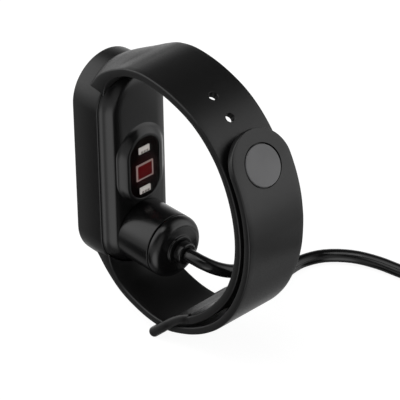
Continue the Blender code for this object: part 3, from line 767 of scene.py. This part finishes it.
def make_outer_strap(silicone):
    """Strap from the ring's lower end through the keeper to the round tab that carries the snap."""
    curve = smooth(LOWER_FACE + TAB_FACE)
    snap_at = distance_of(curve, SNAP_CENTRE, (math.cos(SNAP_TILT), math.sin(SNAP_TILT)))
    distances = [d for d in travelled(curve) if d < snap_at - 0.2]
    widths = [STRAP_HALF] * len(distances)
    for i in range(TAB_STEPS + 1):
        angle = math.radians(TAB_ARC) * i / TAB_STEPS
        distances.append(snap_at + STRAP_HALF * math.sin(angle))
        widths.append(STRAP_HALF * math.cos(angle))
    last = travelled(curve)[-1]
    face = [point_along(curve, distance) for distance in distances if distance <= last]
    strap = new_object("outer_strap", strip(face, widths[:len(face)]))
    cut(strap, root_cutter())
    cut(strap, snap_turned(((-POCKET_DEPTH, CAP_R + GAP), (2.0, CAP_R + GAP))))
    cut(strap, snap_turned(((-3.0, POST_R + GAP), (2.0, POST_R + GAP)), NARROW_STEPS))
    shaded(strap, silicone, SHARP)
    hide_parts("lower_strap", "strap_tab")
    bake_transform(strap)


def make_snap(satin):
    """Snap fastener: a flat cap with a soft rim, and the post behind it."""
    top = -POCKET_DEPTH + GAP + CAP_T
    cap = new_object("snap_cap_disc", snap_turned(
        [(-POCKET_DEPTH + GAP, CAP_R), *arc(top - CAP_EDGE_R, CAP_R - CAP_EDGE_R, CAP_EDGE_R, 90, 0, 5),
         (top, CAP_R - 0.5), (top - 0.02, 1.0)], TURN_STEPS))
    shaded(cap, satin, SNAP_SHARP)
    settle(cap, "snap_tab", "cap_plastic", "snap_cap")
    tip = -POCKET_DEPTH - POST_LENGTH
    post = new_object("snap_stud", snap_turned(
        [(-POCKET_DEPTH, POST_R), *[(tip + above, radius) for above, radius in POST_HEAD]], NARROW_STEPS))
    shaded(post, satin, SNAP_SHARP)
    settle(post, "snap_tab", "cap_plastic", "snap_post")


# ---------------------------------------------------------------- tracker pod


def make_glass(material):
    """Cover glass: flat, with a rounded rim."""
    low, high = GLASS_X
    glass = new_object("cover_glass", pill_body(
        [(low, GLASS_R - 1.2), *arc(low + 0.3, GLASS_R - 0.46, 0.3, 180, 125, 5),
         *arc(low + 0.32, GLASS_R - 0.14, 0.14, 130, 70, 4), (high, GLASS_R)]))
    shaded(glass, material, GLASS_SHARP)
    settle(glass, "pod", "display_glass", "front_glass")


def make_case(material):
    """Front and rear case, the rear one with its rounded edge and the openings for two contacts."""
    wall = POD_R - CASE_WALL
    front = new_object("case_front", pill_body(
        [(CASE_FRONT_X, wall), (CASE_FRONT_X, POD_R - 0.15), (CASE_FRONT_X + 0.15, POD_R),
         (CASE_SPLIT_X - 0.1, POD_R), (CASE_SPLIT_X, POD_R - 0.1), (CASE_SPLIT_X, wall)], closed=True))
    shaded(front, material, SHARP)
    settle(front, "pod", "case_plastic", "front_case")

    side = [(CASE_SPLIT_X + GAP, POD_R - 0.1), (CASE_SPLIT_X + GAP + 0.1, POD_R), (5.9, POD_R)]
    edge = smooth(CASE_EDGE, 4)
    floor = [(BACK_X, WINDOW_R + 0.3, WINDOW_ARCS), (BACK_FLOOR_X, WINDOW_R + 0.3, WINDOW_ARCS),
             (BACK_FLOOR_X, POD_R - 2.3), (BACK_FLOOR_X - 1.2, wall), (CASE_SPLIT_X + GAP, wall)]
    back = new_object("case_back", pill_body([*side, *edge, *floor], closed=True))
    for side_y in (-CONTACT_Y, CONTACT_Y):
        cut(back, turned(((BACK_FLOOR_X - 1, 1.2), (BACK_X + 1, 1.2)), side_y, PUCK_Z, steps=NARROW_STEPS))
    shaded(back, material, SHARP)
    settle(back, "pod", "case_plastic", "back_case")


def make_island(materials):
    """Raised island of the back, and the dark window in its lip."""
    slope = smooth(ISLAND_SLOPE, 4)
    ledge_x = ISLAND_X - ISLAND_LEDGE
    lip = [(ISLAND_X, WINDOW_R + 0.3), (ISLAND_X, WINDOW_R + 0.14), (ISLAND_X - 0.07, WINDOW_R + 0.07),
           (ledge_x, WINDOW_R + 0.07), (ledge_x, WINDOW_R - GAP), (BACK_FLOOR_X, WINDOW_R - GAP),
           (BACK_FLOOR_X, WINDOW_R + 0.28)]
    rings = [(x, r, (high_arc, low_arc)) for x, r, high_arc, low_arc in slope]
    rings += [(x, r, WINDOW_ARCS) for x, r in lip]
    island = new_object("sensor_island", pill_body(rings, closed=True))
    shaded(island, materials["case"], SHARP)
    settle(island, "pod", "case_plastic")

    lens = new_object("sensor_lens", pill_body((
        (ISLAND_X - 0.2, WINDOW_R, WINDOW_ARCS), (ISLAND_X - 0.1, WINDOW_R, WINDOW_ARCS),
        (ISLAND_X - 0.02, WINDOW_R - 0.08, WINDOW_ARCS), (ISLAND_X, WINDOW_R - 0.2, WINDOW_ARCS),
    )))
    shaded(lens, materials["lens"], GLASS_SHARP)
    settle(lens, "pod", "sensor_glass", "sensor_window")


def slab(x, y, z, edge=0.06):
    """Box from three (low, high) pairs of the design frame, bevelled towards the wrist."""
    rings = []
    for depth, shrink in ((x[0], 0.0), (x[1] - edge, 0.0), (x[1], edge)):
        ys, zs = (y[0] + shrink, y[1] - shrink), (z[0] + shrink, z[1] - shrink)
        rings.append([at(depth, ys[i], zs[j]) for i, j in ((0, 0), (1, 0), (1, 1), (0, 1))])
    return skin(rings)


def make_leds(materials):
    """Light sources, each with three leads on its package; the packages carry a faint painted glow."""
    across, along = LED_HALF
    for name, z in SENSOR_LEDS:
        low, high = z - along, z + along
        led = new_object(f"{name}_package", slab(
            (SENSOR_X - SENSOR_T, SENSOR_X), (SENSOR_Y - across, SENSOR_Y + across), (low, high)))
        shaded(led, materials["led"], SHARP)
        settle(led, "pod", "led", name)
        leads = new_object(f"{name}_leads", joined([
            slab((SENSOR_X - 0.1, SENSOR_X + 0.03), (SENSOR_Y + y - LEAD_HALF, SENSOR_Y + y + LEAD_HALF),
                 (low + LEAD_RISE[0], low + LEAD_RISE[1]), 0.02)
            for y in LEAD_SPOTS
        ]))
        shaded(leads, materials["lead"], SHARP)
        settle(leads, "pod", "led")


def make_mask(material):
    """Thin black mask behind the window, on which the light sources and the photodiode stand."""
    rear = SENSOR_X - SENSOR_T
    mask = new_object("sensor_mask", pill_body(((rear - 0.06, WINDOW_R + 0.05, WINDOW_ARCS),
                                                (rear - 0.02, WINDOW_R + 0.05, WINDOW_ARCS))))
    shaded(mask, material)
    settle(mask, "pod", "circuit_board")


def around_cell(growth):
    """Corners across and along the pod of the photodiode's outline, grown on every side."""
    across, along = CELL_HALF[0] + growth, CELL_HALF[1] + growth
    return ((SENSOR_Y - across, CELL_Z - along), (SENSOR_Y + across, CELL_Z + along))


def make_photodiode(materials):
    """Photodiode in its pale rim, whose faint emission is a painted glow."""
    x = (SENSOR_X - SENSOR_T, SENSOR_X)
    across, along = zip(*around_cell(0.0))
    cell = new_object("photodiode_cell", slab(x, across, along))
    shaded(cell, materials["red"], SHARP)
    settle(cell, "pod", "photodiode", "photodiode")
    inner, outer = [around_cell(growth) for growth in RIM_GROWTH]
    rings = []
    for depth, ((y0, z0), (y1, z1)) in ((x[0], outer), (x[1], outer), (x[1], inner), (x[0], inner)):
        rings.append([at(depth, y0, z0), at(depth, y1, z0), at(depth, y1, z1), at(depth, y0, z1)])
    rim = new_object("photodiode_rim", skin(rings, closed=True))
    shaded(rim, materials["pink"], SHARP)
    settle(rim, "pod", "led", "photodiode_frame")


def make_pod(materials):
    """Cover glass, case, and the raised island with the sensor behind its window."""
    make_glass(materials["glass"])
    make_case(materials["case"])
    make_island(materials)
    make_leds(materials)
    make_mask(materials["mask"])
    make_photodiode(materials)


# ---------------------------------------------------------------- charging puck, cord and plug


def make_puck_shell(material):
    """Round shell of the puck, cut to the case's rounded back, with two bores for the spring pins."""
    shell = new_object("charger_shell", turned(
        [(PUCK_X - PUCK_REACH, PUCK_R - 0.05), (PUCK_X - PUCK_REACH + 0.05, PUCK_R),
         *arc(PUCK_SPLIT_X - 0.15, PUCK_R - 0.15, 0.15, 90, 0, 4), (PUCK_SPLIT_X, PUCK_R - PUCK_WALL),
         (PUCK_X + 1.1, PUCK_R - PUCK_WALL)], 0.0, PUCK_Z))
    cut(shell, pill_body([
        (CASE_EDGE[0][0], BACK_R + CASE_CLEARANCE), *[(x + CASE_CLEARANCE, r) for x, r in CASE_EDGE],
        (BACK_X + CASE_CLEARANCE, 4.0),
    ]))
    bore = ((PUCK_X - 1, PIN_R + GAP), (PUCK_X + 2, PIN_R + GAP))
    for side_y in (-CONTACT_Y, CONTACT_Y):
        cut(shell, turned(bore, side_y, PUCK_Z, steps=NARROW_STEPS))
    shaded(shell, material, SHARP)
    settle(shell, "charger", "puck_plastic", "puck_shell")


def make_puck_cap(material):
    """Rounded end of the puck, with the low collar that holds the strain relief."""
    split = PUCK_SPLIT_X + GAP
    round_r = PUCK_END_X - split - 0.3
    cap = new_object("charger_end_cap", turned(
        [(split, PUCK_R - 0.4), *arc(split + 0.22, PUCK_R - 0.22, 0.22, 180, 90, 5),
         *arc(PUCK_END_X - round_r, PUCK_R - round_r, round_r, 90, 0, 14),
         *arc(PUCK_END_X + COLLAR_FILLET, COLLAR_R + COLLAR_FILLET, COLLAR_FILLET, 180, 270, 5),
         *arc(PUCK_END_X + 0.3, COLLAR_R - COLLAR_FILLET, COLLAR_FILLET, 90, 0, 5),
         (PUCK_END_X + 0.5, 2.6), (PUCK_END_X + 0.5, 1.75), (split, 1.75)], 0.0, PUCK_Z, closed=True))
    shaded(cap, material, SHARP)
    settle(cap, "charger", "puck_plastic", "puck_cap")


def make_strain_relief(material):
    """Sleeve that holds the cord where it leaves the puck."""
    relief = new_object("cord_collar", turned(
        [(PUCK_SPLIT_X, 1.4), (PUCK_END_X + 0.8, 1.4), (PUCK_END_X + 0.8, RELIEF_R - 0.1),
         (PUCK_END_X + 0.9, RELIEF_R), *arc(RELIEF_END_X - 0.35, RELIEF_R - 0.35, 0.35, 90, 0, 6),
         (RELIEF_END_X, CORD_R + 0.1)], 0.0, PUCK_Z, steps=MIDDLE_STEPS))
    shaded(relief, material, SHARP)
    settle(relief, "charger", "puck_plastic", "strain_relief")


def make_puck(material):
    """The charging puck: shell, end cap, and the strain relief in the cap's collar."""
    make_puck_shell(material)
    make_puck_cap(material)
    make_strain_relief(material)


def step_between(value, low, high):
    """0 below low, 1 above high, and a smooth step between them."""
    part = min(max((value - low) / (high - low), 0.0), 1.0)
    return part * part * (3 - 2 * part)


def coil_point(turned_by):
    """The coil's line after so many degrees: about a wide turn, half a narrow one, the rest on top."""
    radius = COIL_OUTER_R - (COIL_OUTER_R - COIL_INNER_R) * step_between(turned_by, *COIL_INWARD)
    radius += CORD_R * step_between(turned_by, *COIL_OUTWARD)
    height = CORD_R + 0.1 + 2 * CORD_R * step_between(turned_by, *COIL_CLIMB)
    height -= COIL_SAG * (step_between(turned_by, *COIL_SAG_IN) - step_between(turned_by, *COIL_SAG_OUT))
    angle = math.radians(COIL_START - turned_by)
    x, y = COIL_CENTRE
    return on_floor(x + radius * math.cos(angle), y + radius * math.sin(angle), height)


def cord_line():
    """Every point of the cord, from the puck's strain relief to the plug."""
    route = [tuple(at(*point)) for point in CORD_ROUTE]
    coil = [tuple(coil_point(COIL_STEP * i)) for i in range(int(COIL_TURN / COIL_STEP) + 1)]
    tail = [tuple(on_floor(*point)) for point in TAIL_ROUTE]
    return smooth(route + coil + tail, 4)


def make_cord(material, plug):
    """The whole cord as one round sweep; plug, the names of the pieces at its far end, is not used."""
    points = cord_line()
    curve = bpy.data.curves.new("charging_cord", "CURVE")
    curve.dimensions = "3D"
    curve.bevel_depth = CORD_R * MM
    curve.bevel_resolution = 6
    curve.use_fill_caps = True
    spline = curve.splines.new("POLY")
    spline.points.add(len(points) - 1)
    for target, point in zip(spline.points, points):
        target.co = (*point, 1.0)
    spline.use_smooth = True
    curve.materials.append(material)
    cord = bpy.data.objects.new("charging_cord", curve)
    bpy.context.scene.collection.objects.link(cord)
    settle(cord, "charger", "cord_jacket", "cord_run", "cord_coil", "cord_tail")


def plug_ring(reach, half_width, half_height, corner):
    """Rounded rectangle across the plug, so far from its base."""
    points = []
    for start, side, up in ((0, 1, 1), (90, -1, 1), (180, -1, -1), (270, 1, -1)):
        for i in range(7):
            angle = math.radians(start + 15 * i)
            x = PLUG_BASE[0] + side * (half_width - corner) + corner * math.cos(angle)
            height = PLUG_MIDDLE + up * (half_height - corner) + corner * math.sin(angle)
            points.append(on_floor(x, PLUG_BASE[1] - reach, height))
    return points


def make_plug(materials):
    """Overmould with its own short strain relief, and the metal shell; returns the plug's pieces."""
    grip = new_object("plug_grip", skin([plug_ring(*station) for station in PLUG_GRIP]))
    shaded(grip, materials["silicone"], SHARP)
    settle(grip, "charger", "puck_plastic", "usb_overmold")

    start, tip = PLUG_SHELL
    wide, high = SHELL_HALF
    inner = (wide - SHELL_WALL, high - SHELL_WALL, 0.25)
    shell = new_object("plug_shell", skin([
        plug_ring(start, wide, high, SHELL_CORNER), plug_ring(tip - 0.15, wide, high, SHELL_CORNER),
        plug_ring(tip, wide - 0.1, high - 0.1, SHELL_CORNER - 0.1), plug_ring(tip, *inner),
        plug_ring(start, *inner),
    ], closed=True))
    across, through = SHELL_WINDOW_HALF, high + 1.0
    cut(shell, joined([
        skin([
            [on_floor(PLUG_BASE[0] + x + side * across, PLUG_BASE[1] - reach, PLUG_MIDDLE + up * through)
             for side, up in ((-1, -1), (1, -1), (1, 1), (-1, 1))]
            for reach in [tip - from_tip for from_tip in SHELL_WINDOW_ENDS]
        ])
        for x in SHELL_WINDOWS
    ]))
    shaded(shell, materials["steel"], SHARP)
    settle(shell, "charger", "steel", "usb_shell")
    return [grip.name, shell.name, "usb_tongue", *[f"usb_contact_{n}" for n in range(1, 5)]]


# ---------------------------------------------------------------- finishes of the kept CAD nodes

NODE_FINISHES = {
    "glass_gasket": "silicone", "sensor_board": "board", "display_panel": "chip", "display_bracket": "steel",
    "battery_cell": "foil", "main_board": "green_board", "processor_chip": "chip",
    "motion_sensor_chip": "chip", "radio_shield": "steel", "attraction_plate": "steel",
    "charge_contact_1": "gold", "charge_contact_2": "gold", "vibration_motor_case": "steel",
    "vibration_motor_cover": "steel", "vibration_motor_rotor": "nickel", "puck_magnet_1": "nickel",
    "puck_magnet_2": "nickel", "contact_board": "green_board", "pogo_barrel_1": "gold",
    "pogo_barrel_2": "gold", "pogo_pin_1": "gold", "pogo_pin_2": "gold", "usb_tongue": "tongue",
    "usb_contact_1": "gold", "usb_contact_2": "gold", "usb_contact_3": "gold", "usb_contact_4": "gold",
}


def finish_nodes(materials):
    """Gives the CAD nodes that no finer piece stands for their finishes."""
    for node, finish in NODE_FINISHES.items():
        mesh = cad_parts[node].data
        mesh.materials.clear()
        mesh.materials.append(materials[finish])


# ---------------------------------------------------------------- stage


def make_camera():
    """Camera that looks at its aim from a compass direction, a height and a slight tilt."""
    azimuth, elevation, roll = (math.radians(a) for a in (CAMERA_AZIMUTH, CAMERA_ELEVATION, CAMERA_ROLL))
    back = Vector((math.sin(azimuth) * math.cos(elevation), -math.cos(azimuth) * math.cos(elevation),
                   math.sin(elevation)))
    level = Vector((math.cos(azimuth), math.sin(azimuth), 0.0))
    right = level * math.cos(roll) + back.cross(level) * math.sin(roll)
    up = back.cross(right)
    data = bpy.data.cameras.new("camera")
    data.lens = CAMERA_LENS
    data.sensor_width = CAMERA_SENSOR
    data.clip_start = 0.01
    camera = bpy.data.objects.new("camera", data)
    bpy.context.scene.collection.objects.link(camera)
    turn = Matrix((right, up, back)).transposed().to_4x4()
    camera.matrix_world = Matrix.Translation(at(*CAMERA_AIM) + back * CAMERA_DISTANCE) @ turn
    bpy.context.scene.camera = camera


def make_floor():
    """Pale studio floor: it catches soft shadows, and throws no light back on the object."""
    body = bmesh.new()
    corners = ((-1, -1), (1, -1), (1, 1), (-1, 1))
    body.faces.new([body.verts.new((FLOOR_HALF * x, FLOOR_HALF * y, 0.0)) for x, y in corners])
    floor = new_object("studio_floor", body)
    material = bpy.data.materials.new("white_floor")
    material.use_nodes = True
    shader = material.node_tree.nodes["Principled BSDF"]
    shader.inputs["Base Color"].default_value = (0.2, 0.2, 0.2, 1.0)
    shader.inputs["Roughness"].default_value = 0.9
    shader.inputs["Specular IOR Level"].default_value = 0.0
    shader.inputs["Emission Color"].default_value = (1.0, 1.0, 1.0, 1.0)
    shader.inputs["Emission Strength"].default_value = 0.93
    floor.data.materials.append(material)
    floor.visible_diffuse = False
    floor.visible_glossy = False
    floor.visible_shadow = False


def make_world():
    """Studio surroundings: a level for each elevation, soft boxes, and black flags between them."""
    world = bpy.data.worlds.new("studio")
    bpy.context.scene.world = world
    world.use_nodes = True
    tree = world.node_tree
    link = tree.links.new
    place = tree.nodes.new("ShaderNodeTexCoord")
    split = tree.nodes.new("ShaderNodeSeparateXYZ")
    link(place.outputs["Generated"], split.inputs["Vector"])
    height = tree.nodes.new("ShaderNodeMapRange")
    height.inputs["From Min"].default_value = -1.0
    link(split.outputs["Z"], height.inputs["Value"])
    ramp = tree.nodes.new("ShaderNodeValToRGB")
    elements = ramp.color_ramp.elements
    while len(elements) < len(SKY_LEVELS):
        elements.new(0.5)
    for element, (z, level) in zip(elements, SKY_LEVELS):
        element.position = (z + 1) / 2
        element.color = (level, level, level, 1.0)
    link(height.outputs["Result"], ramp.inputs["Fac"])
    total = ramp.outputs["Color"]
    for direction, outer, inner, level in SKY_PATCHES:
        facing = tree.nodes.new("ShaderNodeVectorMath")
        facing.operation = "DOT_PRODUCT"
        facing.inputs[1].default_value = Vector(direction).normalized()
        link(place.outputs["Generated"], facing.inputs[0])
        patch = tree.nodes.new("ShaderNodeMapRange")
        patch.interpolation_type = "SMOOTHSTEP"
        patch.inputs["From Min"].default_value = math.cos(math.radians(outer))
        patch.inputs["From Max"].default_value = math.cos(math.radians(inner))
        patch.inputs["To Max"].default_value = level
        link(facing.outputs["Value"], patch.inputs["Value"])
        add = tree.nodes.new("ShaderNodeMath")
        add.operation = "ADD"
        link(total, add.inputs[0])
        link(patch.outputs["Result"], add.inputs[1])
        total = add.outputs["Value"]
    clear = tree.nodes.new("ShaderNodeMath")
    clear.operation = "MAXIMUM"
    clear.inputs[1].default_value = 0.01
    link(total, clear.inputs[0])
    link(clear.outputs["Value"], tree.nodes["Background"].inputs["Color"])


def make_light():
    """Soft light from above that draws the object's shadow."""
    data = bpy.data.lights.new("top_soft", "AREA")
    data.shape = "RECTANGLE"
    data.size = LIGHT_SIZE
    data.size_y = LIGHT_SIZE
    data.energy = LIGHT_POWER
    light = bpy.data.objects.new("top_soft", data)
    bpy.context.scene.collection.objects.link(light)
    light.location = LIGHT_PLACE
    towards = at(20.0, 0.0, 0.0) - Vector(LIGHT_PLACE)
    light.rotation_euler = towards.to_track_quat("-Z", "Y").to_euler()


def main():
    """Every piece of the object, then its surroundings."""
    materials = make_materials()
    make_camera()
    make_band(materials["silicone"])
    make_outer_strap(materials["silicone"])
    make_snap(materials["satin"])
    make_pod(materials)
    make_puck(materials["puck"])
    make_cord(materials["cord"], make_plug(materials))
    finish_nodes(materials)
    make_floor()
    make_world()
    make_light()
    bpy.context.scene.view_settings.view_transform = "Standard"


main()
